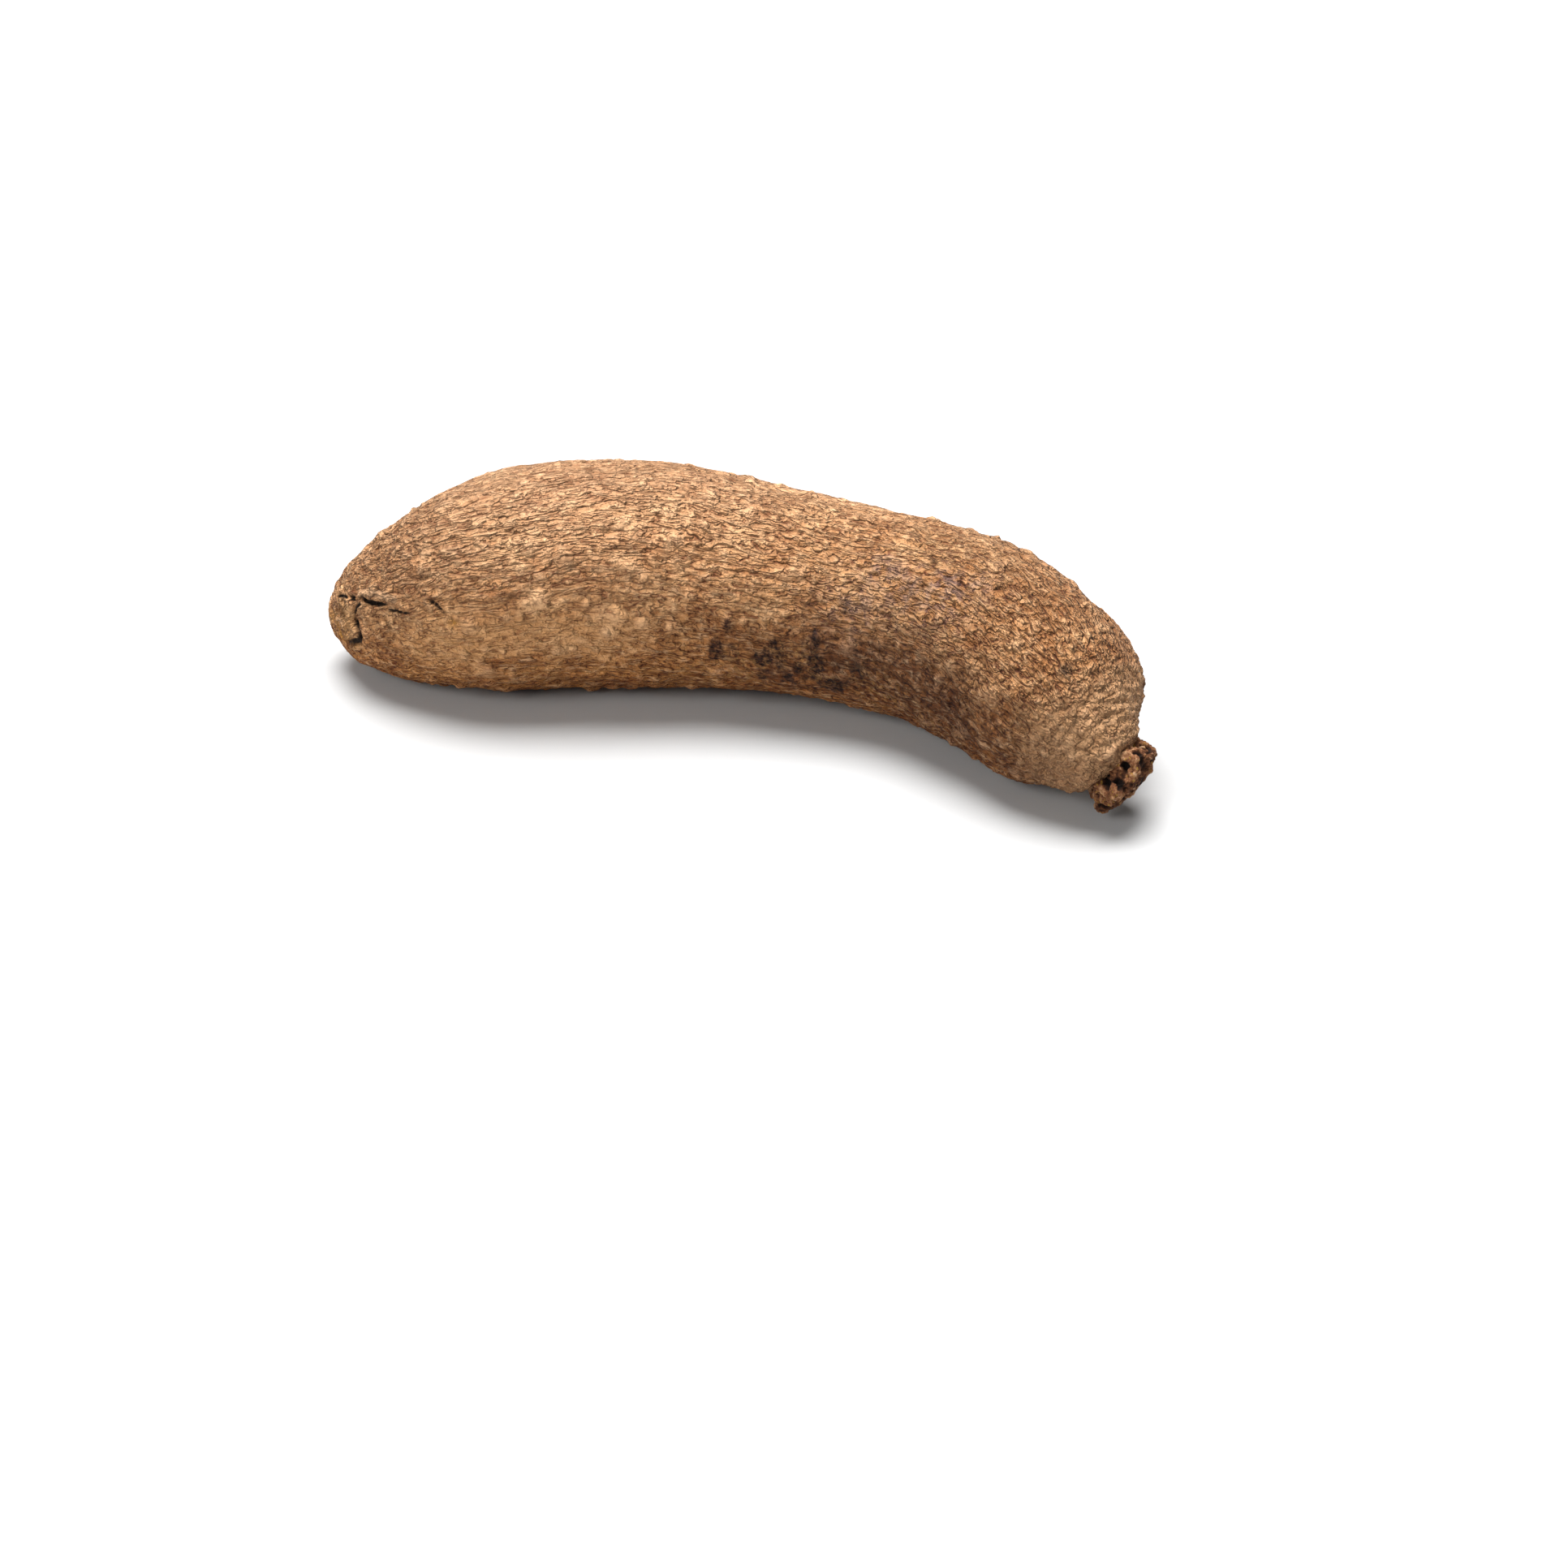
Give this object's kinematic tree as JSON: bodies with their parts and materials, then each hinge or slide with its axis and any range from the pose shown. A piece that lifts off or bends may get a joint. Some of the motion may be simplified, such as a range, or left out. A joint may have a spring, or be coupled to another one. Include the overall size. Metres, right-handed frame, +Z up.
{
  "type": "yam",
  "caption": "Whole yam tuber lying on its side: a thick bent body in corky bark, a blunt cleft tip and a woody crown.",
  "frame": {"origin": "middle of the bounding box, on the surface that the tuber lies on", "axes": "+X along the tuber from its growing tip to its crown, +Z up, the bend bulges towards +Y"},
  "size_m": [0.3482, 0.13, 0.091],
  "materials": {
    "skin": "dry, rough, corky bark with fine lengthways cracks, no gloss"
  },
  "bodies": {
    "root": {"yam": "skin"}
  },
  "joints": []
}
